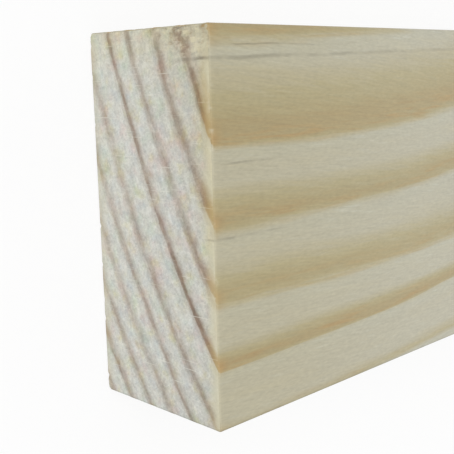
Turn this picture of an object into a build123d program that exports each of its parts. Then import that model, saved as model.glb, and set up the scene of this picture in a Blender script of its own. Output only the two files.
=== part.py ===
# Rectangular moulding strip: one length of planed pine, lying flat on its wide face.
# X runs along the strip, Y across its width and Z through its thickness.
# The origin is at the middle of the face that it lies on.
import os

from build123d import *

# Sizes in millimetres
LENGTH = 1000.0
WIDTH = 45.0
THICKNESS = 21.0

# Radius of the four long arrises, as the planer leaves them
ARRIS_RADIUS = 0.4

# Edge break round the two sawn ends
END_EDGE_BREAK = 0.2

# The sawn end on which the section is drawn
sawn_end = Plane.YZ.offset(-LENGTH / 2)

with BuildPart() as strip:
    # Planed section, with its lower face at floor level
    with BuildSketch(sawn_end) as section:
        Rectangle(WIDTH, THICKNESS, align=(Align.CENTER, Align.MIN))
        fillet(section.vertices(), radius=ARRIS_RADIUS)
    extrude(amount=LENGTH)

    # Both ends are cut square across the grain, and their edges lightly broken
    ends = strip.faces().filter_by(Axis.X)
    chamfer(ends.edges(), length=END_EDGE_BREAK)

strip.part.label = "strip"

os.makedirs("parts", exist_ok=True)
export_step(strip.part, "parts/strip.step")
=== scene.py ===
import math
from collections import namedtuple
from itertools import accumulate

import bpy
from mathutils import Matrix, Vector


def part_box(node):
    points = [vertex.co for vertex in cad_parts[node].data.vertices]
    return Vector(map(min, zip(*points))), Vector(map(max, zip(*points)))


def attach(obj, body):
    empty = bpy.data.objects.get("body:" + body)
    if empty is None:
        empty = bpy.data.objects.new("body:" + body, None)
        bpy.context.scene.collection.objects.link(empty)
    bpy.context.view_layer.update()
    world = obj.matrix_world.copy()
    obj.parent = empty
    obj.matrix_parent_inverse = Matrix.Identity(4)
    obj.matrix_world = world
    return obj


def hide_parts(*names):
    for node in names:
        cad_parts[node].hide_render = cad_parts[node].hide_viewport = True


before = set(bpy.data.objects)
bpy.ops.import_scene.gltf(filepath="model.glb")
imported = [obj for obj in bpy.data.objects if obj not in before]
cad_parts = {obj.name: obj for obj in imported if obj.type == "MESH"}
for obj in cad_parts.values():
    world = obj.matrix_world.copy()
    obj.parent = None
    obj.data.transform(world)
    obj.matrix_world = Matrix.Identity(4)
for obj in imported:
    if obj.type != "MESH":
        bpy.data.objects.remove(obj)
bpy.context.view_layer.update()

# Lengths in this script are in millimetres, and Blender's are in metres
MM = 0.001

# The strip's own sizes and sides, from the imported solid
strip_low, strip_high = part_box("strip")
LENGTH, WIDTH, THICKNESS = ((strip_high - strip_low) / MM)[:]
SAWN_END_X = strip_low.x / MM
FRONT_EDGE_Y = strip_low.y / MM
BACK_EDGE_Y = strip_high.y / MM
TOP_FACE_Z = strip_high.z / MM

# Edges as the planer and the saw leave them
ARRIS_RADIUS = 0.4
END_EASING = 0.3

# Mesh rows along, across and through the strip, and how far they crowd towards the edges
ROWS = (140, 170, 80)
CROWDING = (0.97, 0.6, 0.6)

# Depths cut into the mesh: between the raised latewood, by the saw, and where edges chipped,
# the main checks opened and fibres tore out
RING_RELIEF = 0.03
SAW_RELIEF = 0.10
CHIP_DEPTH = 0.14
CHECK_DEPTH = 0.12
TEAR_DEPTH = 0.20

# Bake map: the four long sides lie in rows across the whole map, and the two ends stand above them.
# Each row is the axis and the sign of its side, and the axis that runs up it.
MAP_NAME = "OFBake"
MAP_MARGIN = 0.006
LONG_SHARE = 0.70
LONG_ROWS = ((2, -1, 1), (1, -1, 2), (2, 1, 1), (1, 1, 2))

# Where the heart of the tree passes the sawn end
HEART_Y = 60.2
HEART_Z = 133.0

# Slant of the fibres round the tree, per length
FIBRE_SLOPE = -0.15

# Growth rings from the heart outwards: where they start, then for each ring its width, how dark its
# latewood is, and how much of the ring the latewood takes on a long face and on the sawn end
RINGS_START = 101.6
RINGS = (
    (4.3, 0.80, 0.90, 0.82), (4.3, 0.90, 0.80, 0.79), (4.2, 0.75, 1.00, 0.85),
    (4.4, 0.88, 0.70, 0.76), (4.2, 1.00, 1.15, 0.88), (4.1, 0.90, 0.68, 0.76),
    (4.2, 0.80, 0.88, 0.70), (3.9, 1.05, 0.66, 0.88), (4.3, 0.69, 0.36, 0.76),
    (3.6, 0.70, 0.80, 1.06), (3.3, 0.55, 0.80, 0.98), (2.9, 0.64, 0.70, 0.96),
    (3.5, 0.76, 0.80, 0.92), (3.1, 0.60, 0.70, 0.90), (3.2, 0.80, 0.80, 0.90),
    (3.3, 0.70, 0.70, 0.85), (3.3, 0.85, 0.90, 0.90), (3.2, 0.70, 0.80, 0.90),
)

# How the rings wander along the strip: distance from the sawn end, then their shift towards the heart
RING_WANDER = (
    (-50, 1.0), (0, 0.0), (50, 1.2), (130, 4.2), (260, 7.4),
    (420, 6.4), (600, 2.2), (780, 1.0), (1000, 5.5),
)

# Latewood through one ring, up to the ring's end: on a long face, and on the sawn end
LATEWOOD_TONE = (
    (0.00, 0.00), (0.28, 0.03), (0.42, 0.22), (0.56, 0.52),
    (0.70, 0.77), (0.82, 1.00), (0.90, 0.94), (1.00, 0.36),
)
LATEWOOD_LINE = (
    (0.00, 0.00), (0.35, 0.00), (0.52, 0.12), (0.66, 0.40),
    (0.78, 0.80), (0.88, 1.00), (0.95, 0.92), (1.00, 0.65),
)

# How far the latewood's colour runs on into the next ring, as a share of that ring
TONE_TAIL = 0.09
LINE_TAIL = 0.19

# Hairline checks: start and finish from the sawn end, distance from the front edge, slope, depth and
# half width. The main ones also show on the sawn end, and are cut into the mesh.
CHECK_SIZES = ("Start", "Finish", "Across", "Slope", "Depth", "Half Width")
MAIN_CHECKS = (
    (0.0, 90.0, 41.3, 0.020, 6.0, 0.32),
    (0.0, 19.0, 22.0, -0.010, 1.5, 0.20),
)
FINE_CHECKS = (
    (2.0, 15.0, 30.1, 0.000, 0.8, 0.18),
    (4.0, 30.0, 42.8, 0.002, 0.8, 0.12),
)

# How gradually a check starts, its least depth, how far it strays, and how far its lip stands off it
CHECK_LEAD = 1.0
CHECK_LEAST_DEPTH = 0.05
CHECK_STRAY_REACH = 0.5
LIP_RISE = 0.4

# How far chips reach in from the edges of the ends, and the painted shade from the edges of the narrow sides
CHIP_REACH = 0.9
EDGE_SHADE_REACH = 0.5

# How uneven the marks along the edges are, as a share of the reach: the rubbed fibres with their painted
# highlight, and the painted shade
EDGE_RAGGED_SHARE = 0.8

# Torn corner of the ends, where the saw broke through at the back edge and the top face: its reach
# through the thickness, how much of that is fully torn, its reach across the width as a share of the
# one through the thickness, and how far its fibres are pushed aside
TEAR_REACH = 12.5
TEAR_FULL = 5.0
TEAR_ACROSS = 0.42
TEAR_PUSH_REACH = 5.0

# A variation in the wood: its size along each axis, its noise, and a window. A variation with a
# window goes from 0 to 1 between the window's two values, and one without swings about 0.
Grain = namedtuple("Grain", "size detail roughness seed window", defaults=(2.0, 0.5, 0.0, None))

# Strays of the rings, sized along, through and round the tree, and how far they take the rings
WAVER = Grain((70.0, 6.0, 30.0), detail=1.0, seed=8549.96)
WAVER_REACH = 2.2
RIPPLE = Grain((45.0, 3.0, 1.8))
RIPPLE_REACH = 0.55

# Streaks on the planed faces, sized along, through and round the tree
STREAKS = {
    "Broad": Grain((60.0, 0.9, 1.6), seed=1.0),
    "Middling": Grain((8.0, 0.35, 0.5), seed=14.0),
    "Fine": Grain((14.0, 0.22, 0.3), detail=3.0, roughness=0.65, seed=2.0),
    "Torn": Grain((16.0, 0.30, 0.5), seed=3.0, window=(0.06, 0.22)),
    "Threads": Grain((12.0, 0.12, 0.25), detail=1.0, seed=4.0, window=(0.12, 0.24)),
}
RESIN_STREAK = Grain((7.0, 0.4, 0.7), seed=6.0, window=(-0.05, 0.2))

# Other variations on the planed faces, sized along, across and through the strip
PORES = Grain((0.8, 0.25, 0.25), seed=16.0)
FACE_MOTTLE = Grain((60.0, 14.0, 14.0))

# Variations on the sawn ends that follow the rings, sized through and round the tree
LINE_FUZZ = Grain((1.0, 0.5, 1.2), detail=3.0, roughness=0.65, seed=7.0)
LINE_BREAKS = Grain((1.0, 1.5, 4.5), seed=2385.0)
RAYS = Grain((1.0, 4.0, 0.16), seed=10.0)
END_MOTTLE = Grain((1.0, 0.9, 2.0), seed=12.0)

# Other variations on the sawn ends, sized along, across and through the strip
SPECKLE = Grain((0.30, 0.30, 0.30), detail=3.0, roughness=0.7, seed=9.0)
BLUSH = Grain((3.0, 2.2, 2.2), detail=4.0, seed=13.0)
WARMTH = Grain((3.0, 1.8, 1.8), detail=4.0, seed=19.0)
SCORES = Grain((40.0, 0.35, 9.0), seed=11.0)
SAW_MARKS = Grain((40.0, 0.9, 25.0), seed=11.0)
NICKS = Grain((40.0, 0.16, 5.0), detail=1.0, seed=17.0, window=(0.16, 0.24))

# Variations of checks, chips, torn fibres, and the marks along the edges: wear with a painted highlight, and
# painted shade
CHECK_STRAY = Grain((6.0, 9.0, 4.0))
CHECK_PATCHES = Grain((2.5, 2.5, 2.5), detail=1.0, seed=5.0)
CHIP_BITE = Grain((1.3, 1.3, 1.3), seed=15.0, window=(0.07, 0.22))
TORN_FIBRES = Grain((2.0, 0.70, 1.8), detail=4.0, roughness=0.6, seed=35.0)
TEAR_PUSH = (Grain((2.0, 1.6, 1.6), seed=20.0), Grain((2.0, 1.6, 1.6), seed=21.0))
EDGE_RAGGEDNESS = Grain((2.5, 2.5, 2.5), detail=3.0)

# Fades: the two places or values between which something changes, and what it changes from and to.
# With only two values it goes from 0 to 1. First those that go by the latewood or the ring:
NARROW_LATEWOOD = (0.3, 0.65, 0.55, 1.0)
BAND_EDGE = (0.05, 0.45)
SOFT_WOOD = (0.35, 0.0)
FIRST_WOOD = (0.03, 0.32, 1.0, 0.0)
AMBER_FIBRES = (0.2, 0.8)
HEARTWARD = (118.0, 133.0, 1.0, 0.0)

# Fades by a variation
WHOLE_LINES = (-0.2, 0.12, 0.72, 1.08)
CRACK_PATCHES = (-0.15, 0.1, 0.3, 1.0)
LIP_PATCHES = (-0.1, 0.1)
STANDING_FIBRES = (0.01, 0.12)
HOLLOW_FIBRES = (-0.02, -0.12)
TINT_ABOVE = (0.0, 0.25)
TINT_BELOW = (0.0, -0.25)

# Fades by a share of a check's depth, and of the reach of the marks at an edge: wear with a painted
# highlight, and painted shade
CHECK_BOTTOM = (1.0, 0.5)
EDGE_WEAR_AND_SHADE_TO = (1.0, 0.1)

# Fades by the distance from the sawn end
RESIN_AT_END = (0.0, 2.5, 0.55, 0.0)
# How far from the sawn end the planed faces are darker and yellower
NEAR_END_DARKENING = (0.0, 50.0, 1.0, 0.0)

# Fades across the width
LINES_ACROSS = (-12.0, 6.0, 0.97, 0.76)
RESIN_ACROSS = (-15.0, 12.0, 0.7, 1.0)
# How strong the painted shade along the narrow sides' edges is across the width: full by the front edge, a
# quarter by the back edge
EDGE_SHADE_ACROSS = (-10.0, 10.0, 1.0, 0.25)
# Painted shade on the sawn end, darker towards the front edge
PAINTED_SHADE_ACROSS = (FRONT_EDGE_Y, 0.0, -0.03, 0.0)
YELLOW_ACROSS = (FRONT_EDGE_Y, 10.0, 0.3, 1.0)
YELLOW_BY_BACK_EDGE = (BACK_EDGE_Y - 6.0, BACK_EDGE_Y, 0.0, 0.8)

# Fades up through the thickness
BY_TOP_FACE = (TOP_FACE_Z - 3.5, TOP_FACE_Z)
# Painted shade on the sawn end, a little lighter by the bottom face and darker by the top face
PAINTED_SHADE_UP = (0.0, TOP_FACE_Z, 0.02, -0.06)
# How pale the band along the ends' edges is, partly rubbed fibres and partly painted highlight: strongest by
# the top face
PALE_UP = (0.0, TOP_FACE_Z, 0.3, 0.7)

# The floor: half its side in metres, its grey, and how far the camera sees it lifted towards white
FLOOR_HALF = 30.0
FLOOR_GREY = 0.94
FLOOR_LIFT = 0.84

# The light: the strength of the surroundings, and the soft lamp's strength, spread and direction
SKY_STRENGTH = 0.69
KEY_STRENGTH = 1.15
KEY_SPREAD = math.radians(50)
KEY_FROM = Vector((-0.60, 0.22, 0.77))

# The picture's side and the focal length in pixels, and where the camera stands and looks, from the
# corner where the sawn end, the front edge and the top face meet
PICTURE_SIDE = 454
FOCAL_PIXELS = 861.7
SENSOR_WIDTH = 36.0
CAMERA_STAND = Vector((-62.24, 39.49, 66.54))
CAMERA_TARGET = Vector((1.96, 23.27, 0.0))
CAMERA_ROLL = math.radians(-1.6)
CAMERA_CLIP = 1.0


def srgb(red, green, blue):
    """Display colour of 0 to 255 as a linear colour with full alpha."""
    shares = [c / 255 for c in (red, green, blue)]
    linear = [c / 12.92 if c <= 0.04045 else ((c + 0.055) / 1.055) ** 2.4 for c in shares]
    return (*linear, 1.0)


WHITE = srgb(255, 255, 255)

# Colours of the planed faces, from earlywood to the darkest latewood, and of what lies on them
BAND_TONES = (
    (0.0, srgb(190, 186, 167)),
    (0.25, srgb(185, 178, 152)),
    (0.5, srgb(180, 171, 138)),
    (0.8, srgb(175, 163, 127)),
    (1.0, srgb(173, 158, 121)),
)
FRESH_WOOD = srgb(189, 189, 173)
RESIN = srgb(184, 146, 94)
TORN_FIBRE = srgb(200, 200, 186)
DARK_THREAD = srgb(150, 143, 124)
# Darker and yellower towards the sawn end
NEAR_END_TINT = srgb(246, 243, 233)
CHECK_LIP = srgb(204, 203, 188)
CHECK_SHADOW = srgb(112, 107, 96)

# Colours of the sawn ends, from the wood between the rings to the darkest line, and of what lies on them
LINE_TONES = (
    (0.0, srgb(204, 204, 196)),
    (0.3, srgb(193, 189, 179)),
    (0.6, srgb(173, 164, 152)),
    (1.0, srgb(137, 118, 101)),
)
HEARTWOOD = srgb(243, 238, 225)
END_RESIN = srgb(146, 110, 68)
ROSY, GREENISH = srgb(255, 242, 243), srgb(244, 253, 246)
WARM, COOL = srgb(255, 251, 229), srgb(243, 248, 255)
SAW_NICK = srgb(222, 220, 208)
# Painted shade in the hollows where fibres tore out
TORN_HOLLOW_SHADE = srgb(158, 140, 120)
TORN_STANDING = srgb(214, 208, 184)
YELLOWED = srgb(255, 251, 236)
END_CHECK_SHADOW = srgb(92, 82, 70)

# Colours along the edges: rubbed fibres that are partly a painted highlight, chips, and painted shade
# Rubbed fibres, cream and amber, partly painted highlight
RUBBED_CREAM_AND_HIGHLIGHT = srgb(203, 197, 168)
RUBBED_AMBER_AND_HIGHLIGHT = srgb(186, 165, 116)
CHIPPED = srgb(212, 208, 186)
# Painted shade along the edges of the narrow sides
PAINTED_EDGE_SHADE = srgb(222, 224, 222)

# Kinds of node tree and of socket
SHADING = "ShaderNodeTree"
SHAPING = "GeometryNodeTree"
FLOAT = "NodeSocketFloat"
VECTOR = "NodeSocketVector"
COLOUR = "NodeSocketColor"
GEOMETRY = "NodeSocketGeometry"
MATERIAL = "NodeSocketMaterial"

# A mix node's sockets for colours, by number: its share, first and second colour, and its result
MIX_TAKES = (0, 6, 7)
MIX_GIVES = 2


# Node helpers: most add a node or a few to a tree, and give back the output

def node(tree, kind, **settings):
    """A new node, given back whole."""
    made = tree.nodes.new(kind)
    for name, value in settings.items():
        setattr(made, name, value)
    return made


def feed(tree, socket, value):
    """Links a socket to another node's output, or sets its constant."""
    if isinstance(value, bpy.types.NodeSocket):
        tree.links.new(value, socket)
    else:
        socket.default_value = value


def maths(tree, operation, *values):
    made = node(tree, "ShaderNodeMath", operation=operation)
    for socket, value in zip(made.inputs, values):
        feed(tree, socket, value)
    return made.outputs[0]


def product(tree, first, *others):
    """All the values multiplied together."""
    for other in others:
        first = maths(tree, "MULTIPLY", first, other)
    return first


def weighed(tree, *pairs, start=0.0):
    """The start plus each value times its weight."""
    total = start
    for value, weight in pairs:
        total = maths(tree, "MULTIPLY_ADD", value, weight, total)
    return total


def vectors(tree, operation, *values):
    """Vector maths. Length gives a number, and scale takes its factor second."""
    made = node(tree, "ShaderNodeVectorMath", operation=operation)
    sockets = [made.inputs[0], made.inputs["Scale"]] if operation == "SCALE" else made.inputs
    for socket, value in zip(sockets, values):
        feed(tree, socket, value)
    return made.outputs["Value" if operation == "LENGTH" else "Vector"]


def split(tree, vector):
    made = node(tree, "ShaderNodeSeparateXYZ")
    feed(tree, made.inputs[0], vector)
    return made.outputs[:3]


def combine(tree, *values):
    made = node(tree, "ShaderNodeCombineXYZ")
    for socket, value in zip(made.inputs, values):
        feed(tree, socket, value)
    return made.outputs[0]


def ramp(tree, value, low, high, to_low=0.0, to_high=1.0, smooth=True):
    """Value from low to high as to_low to to_high, held at both ends."""
    made = node(tree, "ShaderNodeMapRange", interpolation_type="SMOOTHSTEP" if smooth else "LINEAR")
    for socket, given in zip(made.inputs, (value, low, high, to_low, to_high)):
        feed(tree, socket, given)
    return made.outputs[0]


def curve(tree, value, points, smooth=True):
    """Value through a curve of listed points. The node's own axes run from 0 to 1."""
    xs, ys = zip(*points)
    span_x = xs[-1] - xs[0]
    span_y = max(ys) - min(ys)
    made = node(tree, "ShaderNodeFloatCurve")
    made.inputs["Factor"].default_value = 1.0
    line = made.mapping.curves[0]
    while len(line.points) < len(points):
        line.points.new(0.5, 0.5)
    for point, (x, y) in zip(line.points, points):
        point.location = ((x - xs[0]) / span_x, (y - min(ys)) / span_y)
        point.handle_type = "AUTO_CLAMPED" if smooth else "VECTOR"
    made.mapping.update()
    feed(tree, made.inputs["Value"], ramp(tree, value, xs[0], xs[-1], smooth=False))
    return maths(tree, "MULTIPLY_ADD", made.outputs[0], span_y, min(ys))


def noise(tree, position, grain):
    """A variation in the wood, as its grain says."""
    made = node(tree, "ShaderNodeTexNoise", noise_dimensions="4D")
    scaled = vectors(tree, "MULTIPLY", position, tuple(1 / size for size in grain.size))
    feed(tree, made.inputs["Vector"], scaled)
    made.inputs["W"].default_value = grain.seed
    made.inputs["Scale"].default_value = 1.0
    made.inputs["Detail"].default_value = grain.detail
    made.inputs["Roughness"].default_value = grain.roughness
    swing = maths(tree, "SUBTRACT", made.outputs[0], 0.5)
    return ramp(tree, swing, *grain.window) if grain.window else swing


def group_ends(tree, takes, gives):
    """Names a node group's inputs and outputs, and adds the two nodes that hold them."""
    for name, kind in takes:
        tree.interface.new_socket(name=name, in_out="INPUT", socket_type=kind)
    for name, kind in gives:
        tree.interface.new_socket(name=name, in_out="OUTPUT", socket_type=kind)
    return tree.nodes.new("NodeGroupInput").outputs, tree.nodes.new("NodeGroupOutput").inputs


def placed(tree, group, **values):
    """One copy of a node group, with its inputs fed by name."""
    kind = "GeometryNodeGroup" if tree.bl_idname == SHAPING else "ShaderNodeGroup"
    made = node(tree, kind, node_tree=group)
    for name, value in values.items():
        feed(tree, made.inputs[name], value)
    return made.outputs


# Node groups of the wood: those that take a kind serve both the materials and the mesh

def tree_place(tree, position):
    """Where a point was in the tree: along it, out from its heart with the rings' strays, and round it."""
    x, y, z = split(tree, position)
    along = maths(tree, "SUBTRACT", x, SAWN_END_X)
    to_heart_y = maths(tree, "SUBTRACT", HEART_Y, y)
    to_heart_z = maths(tree, "SUBTRACT", HEART_Z, z)
    radius = vectors(tree, "LENGTH", combine(tree, 0.0, to_heart_y, to_heart_z))
    angle = maths(tree, "ARCTAN2", to_heart_y, to_heart_z)
    arc = maths(tree, "MULTIPLY", angle, math.hypot(HEART_Y, HEART_Z))
    in_tree = combine(tree, along, radius, arc)
    depth = weighed(
        tree,
        (curve(tree, along, RING_WANDER), 1.0),
        (noise(tree, in_tree, WAVER), WAVER_REACH),
        (noise(tree, in_tree, RIPPLE), RIPPLE_REACH),
        start=radius,
    )
    return along, depth, arc


def latewood(tree, phase, share, shape, tail):
    """Latewood through one ring: it deepens towards the ring's end, and its colour runs on into the next."""
    to_go = maths(tree, "SUBTRACT", 1.0, phase)
    grown = maths(tree, "SUBTRACT", 1.0, maths(tree, "DIVIDE", to_go, share))
    last = shape[-1][1]
    return maths(tree, "MAXIMUM", curve(tree, grown, shape), ramp(tree, phase, 0.0, tail, last, 0.0))


def growth_rings(kind):
    """The tree's growth rings: latewood as a band and as a line, the place in the ring, and the grain."""
    tree = bpy.data.node_groups.new("growth_rings", kind)
    takes, gives = group_ends(
        tree,
        [("Position", VECTOR)],
        [("Latewood", FLOAT), ("Line", FLOAT), ("Phase", FLOAT), ("Grain", VECTOR)],
    )
    along, depth, arc = tree_place(tree, takes["Position"])
    feed(tree, gives["Grain"], combine(tree, along, depth, arc))

    # Which ring a point is in, and how far through it
    widths, *by_ring = zip(*RINGS)
    ends = accumulate(widths, initial=RINGS_START)
    count = curve(tree, depth, [(end, i) for i, end in enumerate(ends)], smooth=False)
    year = maths(tree, "FLOOR", count)
    phase = maths(tree, "SUBTRACT", count, year)
    feed(tree, gives["Phase"], phase)

    # Latewood that takes little of its ring on a long face is also fainter there
    dark, share, line_share = (curve(tree, year, list(enumerate(row)), smooth=False) for row in by_ring)
    faint = product(tree, dark, ramp(tree, share, *NARROW_LATEWOOD))
    tone = latewood(tree, phase, share, LATEWOOD_TONE, TONE_TAIL)
    feed(tree, gives["Latewood"], product(tree, tone, faint))
    line = latewood(tree, phase, line_share, LATEWOOD_LINE, LINE_TAIL)
    feed(tree, gives["Line"], product(tree, line, dark))
    return tree


def fibre_streaks():
    """Streaks that run with the grain: broad, middling and fine, pale torn fibres and dark threads."""
    tree = bpy.data.node_groups.new("fibre_streaks", SHADING)
    takes, gives = group_ends(tree, [("Grain", VECTOR)], [(name, FLOAT) for name in STREAKS])
    along, depth, arc = split(tree, takes["Grain"])
    slanted = maths(tree, "MULTIPLY_ADD", along, FIBRE_SLOPE, arc)
    grain = combine(tree, along, depth, slanted)
    for name, streak in STREAKS.items():
        feed(tree, gives[name], noise(tree, grain, streak))
    return tree


def fine_check(kind):
    """A hairline crack that dies out along the grain, and the pale lip of fibres that it lifts."""
    tree = bpy.data.node_groups.new("fine_check", kind)
    takes, gives = group_ends(
        tree,
        [("Position", VECTOR), *((name, FLOAT) for name in CHECK_SIZES)],
        [("Crack", FLOAT), ("Lip", FLOAT)],
    )
    position = takes["Position"]
    x, y, z = split(tree, position)
    along = maths(tree, "SUBTRACT", x, SAWN_END_X)

    lead = maths(tree, "SUBTRACT", takes["Start"], CHECK_LEAD)
    begun = ramp(tree, along, lead, takes["Start"])
    whole = ramp(tree, along, takes["Start"], takes["Finish"], 1.0, 0.0)
    reach = weighed(tree, (takes["Depth"], whole), start=CHECK_LEAST_DEPTH)
    down = maths(tree, "DIVIDE", maths(tree, "SUBTRACT", TOP_FACE_Z, z), reach)
    here = product(tree, whole, begun, ramp(tree, down, *CHECK_BOTTOM))

    # The crack's line, and the lip beside it
    stray = noise(tree, position, CHECK_STRAY)
    middle = weighed(tree, (along, takes["Slope"]), (stray, CHECK_STRAY_REACH), start=takes["Across"])
    beside = maths(tree, "SUBTRACT", maths(tree, "SUBTRACT", y, FRONT_EDGE_Y), middle)
    patches = noise(tree, position, CHECK_PATCHES)
    crack = ramp(tree, maths(tree, "ABSOLUTE", beside), takes["Half Width"], 0.0)
    feed(tree, gives["Crack"], product(tree, crack, ramp(tree, patches, *CRACK_PATCHES), here))
    from_lip = maths(tree, "ABSOLUTE", maths(tree, "SUBTRACT", beside, LIP_RISE))
    lip = ramp(tree, from_lip, LIP_RISE, 0.0)
    feed(tree, gives["Lip"], product(tree, lip, ramp(tree, patches, *LIP_PATCHES), here))
    return tree


def checks(tree, check, position, sizes):
    """The strongest crack and the strongest lip of some hairline checks."""
    crack = lip = 0.0
    for values in sizes:
        one = placed(tree, check, Position=position, **dict(zip(CHECK_SIZES, values)))
        crack = maths(tree, "MAXIMUM", one["Crack"], crack)
        lip = maths(tree, "MAXIMUM", one["Lip"], lip)
    return crack, lip


def to_outside(tree, position):
    """How far a point is from the nearer sawn end, narrow side and wide face."""
    x, y, z = split(tree, position)
    end = maths(tree, "SUBTRACT", LENGTH / 2, maths(tree, "ABSOLUTE", x))
    side = maths(tree, "SUBTRACT", WIDTH / 2, maths(tree, "ABSOLUTE", y))
    off_middle = maths(tree, "ABSOLUTE", maths(tree, "SUBTRACT", z, THICKNESS / 2))
    face = maths(tree, "SUBTRACT", THICKNESS / 2, off_middle)
    return end, side, face


def edge_chips(kind):
    """Chips that the saw broke out along the edges of the ends."""
    tree = bpy.data.node_groups.new("edge_chips", kind)
    takes, gives = group_ends(tree, [("Position", VECTOR)], [("Chip", FLOAT)])
    end, side, face = to_outside(tree, takes["Position"])
    from_edge = maths(tree, "MAXIMUM", end, maths(tree, "MINIMUM", side, face))
    bite = noise(tree, takes["Position"], CHIP_BITE)
    feed(tree, gives["Chip"], product(tree, bite, ramp(tree, from_edge, CHIP_REACH, 0.0)))
    return tree


def torn_corner(kind):
    """The torn corner of the ends: fibres left standing or torn out, and how far they are pushed aside."""
    tree = bpy.data.node_groups.new("torn_corner", kind)
    takes, gives = group_ends(
        tree,
        [("Position", VECTOR)],
        [("Standing", FLOAT), ("Hollow", FLOAT), ("Push", VECTOR)],
    )
    position = takes["Position"]
    _, y, z = split(tree, position)
    from_side = maths(tree, "DIVIDE", maths(tree, "SUBTRACT", BACK_EDGE_Y, y), TEAR_ACROSS)
    to_corner = combine(tree, 0.0, from_side, maths(tree, "SUBTRACT", TOP_FACE_Z, z))
    by_corner = ramp(tree, vectors(tree, "LENGTH", to_corner), TEAR_REACH, TEAR_FULL)
    fibres = noise(tree, position, TORN_FIBRES)
    feed(tree, gives["Standing"], product(tree, ramp(tree, fibres, *STANDING_FIBRES), by_corner))
    feed(tree, gives["Hollow"], product(tree, ramp(tree, fibres, *HOLLOW_FIBRES), by_corner))
    push = combine(tree, 0.0, *(noise(tree, position, grain) for grain in TEAR_PUSH))
    feed(tree, gives["Push"], vectors(tree, "SCALE", push, product(tree, by_corner, TEAR_PUSH_REACH)))
    return tree


# Colour helpers for the materials

def painted(tree, colour, paint, mask, strength=1.0, blend="MIX"):
    """Colour with a paint laid on, as far as a mask and a strength say."""
    made = node(tree, "ShaderNodeMix", data_type="RGBA", blend_type=blend)
    share = mask if strength == 1.0 else product(tree, mask, strength)
    for place, value in zip(MIX_TAKES, (share, colour, paint)):
        feed(tree, made.inputs[place], value)
    return made.outputs[MIX_GIVES]


def tones(tree, value, stops):
    """A run of colours."""
    made = node(tree, "ShaderNodeValToRGB")
    stages = made.color_ramp.elements
    while len(stages) < len(stops):
        stages.new(0.5)
    for stage, (place, colour) in zip(stages, stops):
        stage.position = place
        stage.color = colour
    feed(tree, made.inputs[0], value)
    return made.outputs[0]


def tinged(tree, colour, variation, above, below):
    """Colour tinted one way where a variation is above 0, and the other way where it is below."""
    colour = painted(tree, colour, above, ramp(tree, variation, *TINT_ABOVE), blend="MULTIPLY")
    return painted(tree, colour, below, ramp(tree, variation, *TINT_BELOW), blend="MULTIPLY")


def shaded(tree, colour, *pairs):
    """Colour made lighter or darker by the sum of some values, each times its weight."""
    return vectors(tree, "SCALE", colour, weighed(tree, *pairs, start=1.0))


def relief(tree, strength, *pairs):
    """Bump from the sum of some values, each times its height."""
    made = node(tree, "ShaderNodeBump")
    made.inputs["Strength"].default_value = strength
    made.inputs["Distance"].default_value = MM
    feed(tree, made.inputs["Height"], weighed(tree, *pairs))
    return made.outputs[0]


def near_edge(tree, distance, reach, ragged):
    """How strongly an edge marks a point by its distance from it, for the wear with its painted highlight
    and for the painted shade: 1 at the edge, and 0 past the reach.
    """
    off = weighed(tree, (ragged, EDGE_RAGGED_SHARE), start=maths(tree, "DIVIDE", distance, reach))
    return ramp(tree, off, *EDGE_WEAR_AND_SHADE_TO)


def edge_wear_and_painted_light(chips):
    """Cream and amber rubbed fibres that are partly a painted highlight, and chips, at the edges of the
    ends, and painted shade on those of the narrow sides.
    """
    tree = bpy.data.node_groups.new("edge_wear_and_painted_light", SHADING)
    takes, gives = group_ends(
        tree,
        [("Colour", COLOUR), ("Position", VECTOR), ("Latewood", FLOAT), ("Reach", FLOAT), ("Pale", FLOAT)],
        [("Colour", COLOUR)],
    )
    position = takes["Position"]
    end, side, face = to_outside(tree, position)
    ragged = noise(tree, position, EDGE_RAGGEDNESS)

    # Rubbed fibres along the edges of the ends, partly painted highlight, and chips
    rubbed_and_lit = near_edge(tree, maths(tree, "MAXIMUM", end, face), takes["Reach"], ragged)
    fibres = painted(tree, RUBBED_CREAM_AND_HIGHLIGHT, RUBBED_AMBER_AND_HIGHLIGHT, ramp(tree, takes["Latewood"], *AMBER_FIBRES))
    colour = painted(tree, takes["Colour"], fibres, rubbed_and_lit, takes["Pale"])
    colour = painted(tree, colour, CHIPPED, placed(tree, chips, Position=position)["Chip"], 0.5)

    # Painted shade along the edges of the narrow sides, strongest by the front edge
    from_side_edge = maths(tree, "MAXIMUM", side, maths(tree, "MINIMUM", end, face))
    edge_shade_side = ramp(tree, split(tree, position)[1], *EDGE_SHADE_ACROSS)
    edge_shade = product(tree, near_edge(tree, from_side_edge, EDGE_SHADE_REACH, ragged), edge_shade_side)
    feed(tree, gives["Colour"], painted(tree, colour, PAINTED_EDGE_SHADE, edge_shade, blend="MULTIPLY"))
    return tree


# The two finishes

def wood(name):
    """A new material with its tree and shader, and places in the strip's frame."""
    made = bpy.data.materials.new(name)
    made.use_nodes = True
    tree = made.node_tree
    place = node(tree, "ShaderNodeTexCoord").outputs["Object"]
    return made, tree, tree.nodes["Principled BSDF"].inputs, vectors(tree, "SCALE", place, 1 / MM)


def band_colour(tree, rings, fibre):
    """Colour of the bands, streaked along the grain."""
    streaked = product(tree, fibre["Middling"], ramp(tree, rings["Latewood"], *BAND_EDGE))
    depth = weighed(
        tree,
        (fibre["Broad"], 0.35),
        (streaked, 0.55),
        (fibre["Fine"], 0.12),
        start=rings["Latewood"],
    )
    return tones(tree, depth, BAND_TONES)


def face_resin(tree, rings, along):
    """Resin in streaks along the ring ends, strongest at the sawn end."""
    streak = product(tree, noise(tree, rings["Grain"], RESIN_STREAK), 0.38)
    amount = maths(tree, "MAXIMUM", streak, ramp(tree, along, *RESIN_AT_END))
    return product(tree, maths(tree, "POWER", rings["Line"], 2.0), amount)


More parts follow.
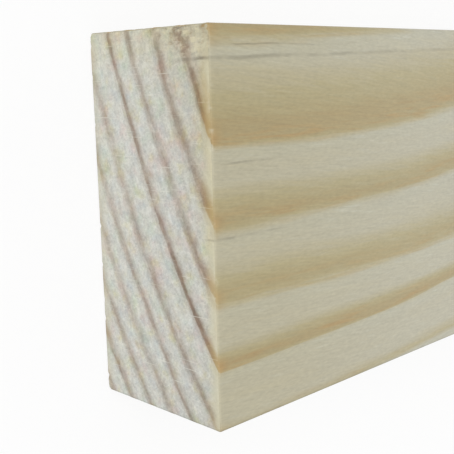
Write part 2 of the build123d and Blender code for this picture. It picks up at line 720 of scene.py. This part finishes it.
def planed_pine(groups):
    """The planed long faces."""
    made, tree, shader, position = wood("planed_pine")
    rings = placed(tree, groups["rings"], Position=position)
    fibre = placed(tree, groups["streaks"], Grain=rings["Grain"])
    along = split(tree, rings["Grain"])[0]

    # The first wood of each ring is the coolest, and has the most torn fibres
    soft = ramp(tree, rings["Latewood"], *SOFT_WOOD)
    fresh = product(tree, ramp(tree, rings["Phase"], *FIRST_WOOD), soft)
    torn = product(tree, fibre["Torn"], weighed(tree, (fresh, 0.35), start=0.25), soft)
    threads = product(tree, fibre["Threads"], weighed(tree, (soft, 0.7), start=0.3))
    colour = painted(tree, band_colour(tree, rings, fibre), FRESH_WOOD, fresh, 0.4)
    colour = painted(tree, colour, RESIN, face_resin(tree, rings, along))
    colour = painted(tree, colour, TORN_FIBRE, torn)
    colour = painted(tree, colour, DARK_THREAD, threads, 0.18)
    colour = shaded(
        tree, colour,
        (fibre["Broad"], 0.10),
        (fibre["Fine"], 0.34),
        (noise(tree, position, PORES), 0.30),
        (noise(tree, position, FACE_MOTTLE), 0.08),
    )

    # Darker and yellower towards the sawn end, worn edges that are partly a painted highlight, painted shade
    # along the narrow sides' edges, and checks
    colour = painted(tree, colour, NEAR_END_TINT, ramp(tree, along, *NEAR_END_DARKENING), blend="MULTIPLY")
    edge_wear_and_light = {"Latewood": rings["Latewood"], "Reach": 0.5, "Pale": 0.2}
    colour = placed(tree, groups["edge wear and painted light"], Colour=colour, Position=position, **edge_wear_and_light)["Colour"]
    crack, lip = checks(tree, groups["check"], position, MAIN_CHECKS + FINE_CHECKS)
    colour = painted(tree, colour, CHECK_LIP, lip, 0.16)
    colour = painted(tree, colour, CHECK_SHADOW, crack, 0.36)
    feed(tree, shader["Base Color"], colour)

    rough = weighed(tree, (rings["Latewood"], -0.10), (fibre["Fine"], 0.12), start=0.60)
    feed(tree, shader["Roughness"], rough)
    bump = relief(tree, 0.6, (fibre["Fine"], 0.03), (fibre["Torn"], 0.008), (crack, -0.10))
    feed(tree, shader["Normal"], bump)
    return made


def end_lines(tree, rings, round_tree, across):
    """Ring lines, broken and blurred where the saw tore the fibres, and fainter towards the back edge."""
    whole = ramp(tree, noise(tree, round_tree, LINE_BREAKS), *WHOLE_LINES)
    strength = product(tree, whole, ramp(tree, across, *LINES_ACROSS))
    line = product(tree, rings["Line"], strength)
    return weighed(tree, (noise(tree, round_tree, LINE_FUZZ), 0.62), start=line)


def end_resin(tree, rings, by_face, across):
    """Resin that darkens the ring lines by the top face."""
    dark = maths(tree, "POWER", rings["Line"], 2.0)
    return product(tree, dark, by_face, ramp(tree, across, *RESIN_ACROSS))


def end_yellow(tree, by_face, across):
    """How yellow the end is by the top face and by the back edge."""
    by_top = product(tree, by_face, ramp(tree, across, *YELLOW_ACROSS))
    return maths(tree, "MAXIMUM", by_top, ramp(tree, across, *YELLOW_BY_BACK_EDGE))


def sawn_end_grain(groups):
    """The sawn ends, with the torn corner where the saw broke through."""
    made, tree, shader, position = wood("sawn_end_grain")
    _, across, up = split(tree, position)
    tear = placed(tree, groups["torn corner"], Position=position)
    pushed = vectors(tree, "ADD", position, tear["Push"])
    rings = placed(tree, groups["rings"], Position=pushed)
    _, depth, arc = split(tree, rings["Grain"])
    round_tree = combine(tree, 0.0, depth, arc)
    by_face = ramp(tree, up, *BY_TOP_FACE)

    # The lines and the wood between them, warmer towards the heart
    line = end_lines(tree, rings, round_tree, across)
    colour = tones(tree, line, LINE_TONES)
    colour = painted(tree, colour, HEARTWOOD, ramp(tree, depth, *HEARTWARD), blend="MULTIPLY")
    colour = painted(tree, colour, END_RESIN, end_resin(tree, rings, by_face, across))
    colour = tinged(tree, colour, noise(tree, position, BLUSH), ROSY, GREENISH)
    colour = tinged(tree, colour, noise(tree, position, WARMTH), WARM, COOL)

    # Speckle and rays, painted shade darker towards the top face and the front edge, and what the saw left:
    # scores, pale nicks of its teeth, and torn fibres with painted shade in their hollows
    speckle = noise(tree, position, SPECKLE)
    rays = noise(tree, round_tree, RAYS)
    scores = noise(tree, position, SCORES)
    colour = shaded(
        tree, colour,
        (speckle, 0.86),
        (rays, 0.20),
        (scores, 0.10),
        (noise(tree, round_tree, END_MOTTLE), 0.46),
        # Painted shade, darker towards the top face and the front edge
        (ramp(tree, up, *PAINTED_SHADE_UP), 1.0),
        (ramp(tree, across, *PAINTED_SHADE_ACROSS), 1.0),
    )
    colour = painted(tree, colour, SAW_NICK, noise(tree, position, NICKS), 0.55)
    # Painted shade in the torn-out hollows
    colour = painted(tree, colour, TORN_HOLLOW_SHADE, tear["Hollow"], 0.55)
    colour = painted(tree, colour, TORN_STANDING, tear["Standing"], 0.7)

    # Age, worn edges that are partly a painted highlight, painted shade along the narrow sides' edges, and
    # checks
    colour = painted(tree, colour, YELLOWED, end_yellow(tree, by_face, across), blend="MULTIPLY")
    edge_wear_and_light = {"Latewood": rings["Latewood"], "Reach": 2.0, "Pale": ramp(tree, up, *PALE_UP)}
    colour = placed(tree, groups["edge wear and painted light"], Colour=colour, Position=position, **edge_wear_and_light)["Colour"]
    crack, _ = checks(tree, groups["check"], position, MAIN_CHECKS)
    colour = painted(tree, colour, END_CHECK_SHADOW, crack, 0.6)
    feed(tree, shader["Base Color"], colour)

    feed(tree, shader["Roughness"], weighed(tree, (line, -0.12), start=0.88))
    heights = ((speckle, 0.10), (rays, 0.03), (scores, 0.06), (tear["Standing"], 0.05), (crack, -0.15))
    feed(tree, shader["Normal"], relief(tree, 0.5, *heights))
    return made


# The strip's form

def through(tree, kind, geometry, settings=None, **values):
    """Geometry passed through one node, with the node's inputs fed by name."""
    made = node(tree, kind, **(settings or {}))
    feed(tree, made.inputs["Geometry"], geometry)
    for name, value in values.items():
        feed(tree, made.inputs[name], value)
    return made.outputs["Geometry"]


def close_blank(tree):
    """A cube of close rows from -1 to 1, and the side of it that each face is on."""
    blank = node(tree, "GeometryNodeMeshCube")
    blank.inputs["Size"].default_value = (2.0, 2.0, 2.0)
    for axis, rows in zip("XYZ", ROWS):
        blank.inputs[f"Vertices {axis}"].default_value = rows + 1
    kept = node(tree, "GeometryNodeCaptureAttribute", domain="FACE")
    kept.capture_items.new("VECTOR", "Side")
    feed(tree, kept.inputs["Geometry"], blank.outputs["Mesh"])
    feed(tree, kept.inputs["Side"], node(tree, "GeometryNodeInputNormal").outputs[0])
    return kept.outputs["Geometry"], kept.outputs["Side"]


def crowded_rows(tree):
    """The blank's places with the rows crowded towards the edges, where the form turns."""
    place = node(tree, "GeometryNodeInputPosition").outputs[0]
    crowded = []
    for value, share in zip(split(tree, place), CROWDING):
        swing = maths(tree, "SINE", maths(tree, "MULTIPLY", value, math.pi / 2))
        crowded.append(weighed(tree, (value, 1.0 - share), (swing, share)))
    return combine(tree, *crowded)


def map_charts():
    """Each side's axis and sign, the axes over and up it, and its left, low, width and height on the map."""
    sizes = (LENGTH, WIDTH, THICKNESS)
    margins = (len(LONG_ROWS) + 1) * MAP_MARGIN
    per_mm = (LONG_SHARE - margins) / sum(sizes[up] for _, _, up in LONG_ROWS)
    low = MAP_MARGIN
    for axis, sign, up in LONG_ROWS:
        high = sizes[up] * per_mm
        yield axis, sign, 0, up, MAP_MARGIN, low, 1 - 2 * MAP_MARGIN, high
        low += high + MAP_MARGIN
    end_wide = (1 - 3 * MAP_MARGIN) / 2
    end_high = 1 - LONG_SHARE - MAP_MARGIN
    for i, sign in enumerate((-1, 1)):
        left = MAP_MARGIN + i * (end_wide + MAP_MARGIN)
        yield 0, sign, 1, 2, left, LONG_SHARE, end_wide, end_high


def bake_map(tree, spread, side):
    """Place on the bake map of a point given from -1 to 1 along each axis, by the side that it is on."""
    place = split(tree, spread)
    facing = split(tree, side)
    total = (0.0, 0.0, 0.0)
    for axis, sign, over, up, left, low, wide, high in map_charts():
        u = maths(tree, "MULTIPLY_ADD", place[over], wide / 2, left + wide / 2)
        v = maths(tree, "MULTIPLY_ADD", place[up], high / 2, low + high / 2)
        on_side = maths(tree, "GREATER_THAN", maths(tree, "MULTIPLY", facing[axis], sign), 0.5)
        chart = vectors(tree, "SCALE", combine(tree, u, v, 0.0), on_side)
        total = vectors(tree, "ADD", chart, total)
    return total


def eased_box(tree, spread, half, easing):
    """Places on a box with eased edges that stands on the floor, in metres."""
    full = vectors(tree, "MULTIPLY", spread, half)
    inner = vectors(tree, "SUBTRACT", half, easing)
    core = vectors(tree, "MINIMUM", full, inner)
    core = vectors(tree, "MAXIMUM", core, vectors(tree, "SCALE", inner, -1.0))
    outward = vectors(tree, "DIVIDE", vectors(tree, "SUBTRACT", full, core), easing)
    outward = vectors(tree, "NORMALIZE", outward)
    eased = vectors(tree, "ADD", core, vectors(tree, "MULTIPLY", outward, easing))
    lift = combine(tree, 0.0, 0.0, split(tree, half)[2])
    return vectors(tree, "SCALE", vectors(tree, "ADD", eased, lift), MM)


def relief_cut(tree, takes, on_end):
    """How deep each point is cut: between the rings or by the saw, and by chips, checks and tears."""
    position = vectors(tree, "SCALE", node(tree, "GeometryNodeInputPosition").outputs[0], 1 / MM)
    rings = placed(tree, growth_rings(SHAPING), Position=position)
    planed = product(tree, maths(tree, "SUBTRACT", 1.0, rings["Line"]), takes["Ring Relief"])
    marks = maths(tree, "ADD", noise(tree, position, SAW_MARKS), 0.5)
    sawn = product(tree, marks, takes["Saw Relief"])
    chip = placed(tree, edge_chips(SHAPING), Position=position)["Chip"]
    crack, _ = checks(tree, fine_check(SHAPING), position, MAIN_CHECKS)
    hollow = placed(tree, torn_corner(SHAPING), Position=position)["Hollow"]
    return weighed(
        tree,
        (maths(tree, "SUBTRACT", sawn, planed), on_end),
        (chip, takes["Chip Depth"]),
        (crack, takes["Check Depth"]),
        (product(tree, hollow, on_end), takes["Tear Depth"]),
        start=planed,
    )


def strip_form():
    """Node tree that makes the strip: a close mesh of its six sides, eased edges, relief and a bake map."""
    tree = bpy.data.node_groups.new("strip_form", SHAPING)
    tree.is_modifier = True
    takes, gives = group_ends(
        tree,
        [
            ("Geometry", GEOMETRY),
            ("Half Size", VECTOR),
            ("Easing", VECTOR),
            ("Ring Relief", FLOAT),
            ("Saw Relief", FLOAT),
            ("Chip Depth", FLOAT),
            ("Check Depth", FLOAT),
            ("Tear Depth", FLOAT),
            ("Planed Faces", MATERIAL),
            ("Sawn Ends", MATERIAL),
        ],
        [("Geometry", GEOMETRY)],
    )
    shape, side = close_blank(tree)
    spread = crowded_rows(tree)
    on_end = maths(tree, "ABSOLUTE", split(tree, side)[0])

    # The bake map is stored on the blank, before its places change
    on_map = bake_map(tree, spread, side)
    per_corner = {"data_type": "FLOAT2", "domain": "CORNER"}
    shape = through(tree, "GeometryNodeStoreNamedAttribute", shape, per_corner, Name=MAP_NAME, Value=on_map)
    box = eased_box(tree, spread, takes["Half Size"], takes["Easing"])
    shape = through(tree, "GeometryNodeSetPosition", shape, Position=box)

    # Relief is cut into the wood, and only the darkest ring stands proud, by about 0.001 mm
    inward = vectors(tree, "SCALE", node(tree, "GeometryNodeInputNormal").outputs[0], -MM)
    cut = vectors(tree, "SCALE", inward, relief_cut(tree, takes, on_end))
    shape = through(tree, "GeometryNodeSetPosition", shape, Offset=cut)

    shape = through(tree, "GeometryNodeSetShadeSmooth", shape)
    shape = through(tree, "GeometryNodeRealizeInstances", shape)
    shape = through(tree, "GeometryNodeSetMaterial", shape, Material=takes["Planed Faces"])
    ends = maths(tree, "GREATER_THAN", on_end, 0.5)
    shape = through(tree, "GeometryNodeSetMaterial", shape, Selection=ends, Material=takes["Sawn Ends"])
    feed(tree, gives["Geometry"], shape)
    return tree


def set_out(name, data):
    """A new object in the scene."""
    made = bpy.data.objects.new(name, data)
    bpy.context.scene.collection.objects.link(made)
    return made


def made_strip(form, planed, sawn):
    """The strip as a plain mesh object, from its node tree."""
    blank = set_out("strip_blank", bpy.data.meshes.new("strip_blank"))
    shaping = blank.modifiers.new("form", "NODES")
    shaping.node_group = form
    values = {
        "Half Size": (LENGTH / 2, WIDTH / 2, THICKNESS / 2),
        "Easing": (END_EASING, ARRIS_RADIUS, ARRIS_RADIUS),
        "Ring Relief": RING_RELIEF,
        "Saw Relief": SAW_RELIEF,
        "Chip Depth": CHIP_DEPTH,
        "Check Depth": CHECK_DEPTH,
        "Tear Depth": TEAR_DEPTH,
        "Planed Faces": planed,
        "Sawn Ends": sawn,
    }
    for socket in form.interface.items_tree:
        if socket.in_out == "INPUT" and socket.name in values:
            shaping[socket.identifier] = values[socket.name]
    shown = blank.evaluated_get(bpy.context.evaluated_depsgraph_get())
    mesh = bpy.data.meshes.new_from_object(shown)
    bpy.data.objects.remove(blank)
    return set_out("moulding_strip", mesh)


# The studio

def seen_directly(tree):
    """1 for what the camera sees, also in a reflection or through glass, and 0 for other light."""
    path = node(tree, "ShaderNodeLightPath").outputs
    seen = maths(tree, "MAXIMUM", path["Is Camera Ray"], path["Is Glossy Ray"])
    return maths(tree, "MAXIMUM", seen, path["Is Transmission Ray"])


def floor_paint():
    """Pale paint that the camera sees lifted towards white. It keeps part of the strip's shadow."""
    made = bpy.data.materials.new("pale_floor")
    made.use_nodes = True
    tree = made.node_tree
    tree.nodes.clear()
    matt = node(tree, "ShaderNodeBsdfDiffuse")
    matt.inputs["Color"].default_value = (FLOOR_GREY, FLOOR_GREY, FLOOR_GREY, 1.0)
    lift = node(tree, "ShaderNodeEmission")
    lift.inputs["Color"].default_value = WHITE
    blend = node(tree, "ShaderNodeMixShader")
    feed(tree, blend.inputs[0], product(tree, seen_directly(tree), FLOOR_LIFT))
    feed(tree, blend.inputs[1], matt.outputs[0])
    feed(tree, blend.inputs[2], lift.outputs[0])
    feed(tree, node(tree, "ShaderNodeOutputMaterial").inputs["Surface"], blend.outputs[0])
    return made


def floor():
    """A wide pale floor."""
    half = FLOOR_HALF
    mesh = bpy.data.meshes.new("floor")
    corners = [(-half, -half, 0), (half, -half, 0), (half, half, 0), (-half, half, 0)]
    mesh.from_pydata(corners, [], [(0, 1, 2, 3)])
    mesh.materials.append(floor_paint())
    made = set_out("floor", mesh)


def light():
    """Even light from all round, and one broad soft lamp."""
    world = bpy.data.worlds.new("studio")
    bpy.context.scene.world = world
    world.use_nodes = True
    tree = world.node_tree
    tree.nodes.clear()
    sky = node(tree, "ShaderNodeBackground")
    sky.inputs["Color"].default_value = WHITE
    strength = ramp(tree, seen_directly(tree), 0.0, 1.0, SKY_STRENGTH, 1.0, smooth=False)
    feed(tree, sky.inputs["Strength"], strength)
    feed(tree, node(tree, "ShaderNodeOutputWorld").inputs["Surface"], sky.outputs[0])

    lamp = bpy.data.lights.new("soft_key", "SUN")
    lamp.energy = KEY_STRENGTH
    lamp.angle = KEY_SPREAD
    key = set_out("soft_key", lamp)
    key.rotation_mode = "QUATERNION"
    key.rotation_quaternion = KEY_FROM.to_track_quat("Z", "Y")


def camera():
    """The photograph's viewpoint, above the sawn end."""
    corner = Vector((SAWN_END_X, FRONT_EDGE_Y, TOP_FACE_Z))
    ahead = (CAMERA_TARGET - CAMERA_STAND).normalized()
    level = ahead.cross(Vector((0, 1, 0))).normalized()
    right = Matrix.Rotation(CAMERA_ROLL, 3, -ahead) @ level
    up = right.cross(ahead)
    turn = Matrix((right, up, -ahead)).transposed().to_4x4()
    made = set_out("camera", bpy.data.cameras.new("camera"))
    made.matrix_world = Matrix.Translation((corner + CAMERA_STAND) * MM) @ turn
    made.data.sensor_width = SENSOR_WIDTH
    made.data.lens = FOCAL_PIXELS / PICTURE_SIDE * SENSOR_WIDTH
    made.data.clip_start = CAMERA_CLIP * MM
    bpy.context.scene.camera = made


groups = {
    "rings": growth_rings(SHADING),
    "streaks": fibre_streaks(),
    "check": fine_check(SHADING),
    "torn corner": torn_corner(SHADING),
    "edge wear and painted light": edge_wear_and_painted_light(edge_chips(SHADING)),
}
strip = made_strip(strip_form(), planed_pine(groups), sawn_end_grain(groups))
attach(strip, "root")
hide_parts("strip")

floor()
light()
camera()
bpy.context.scene.view_settings.view_transform = "Standard"
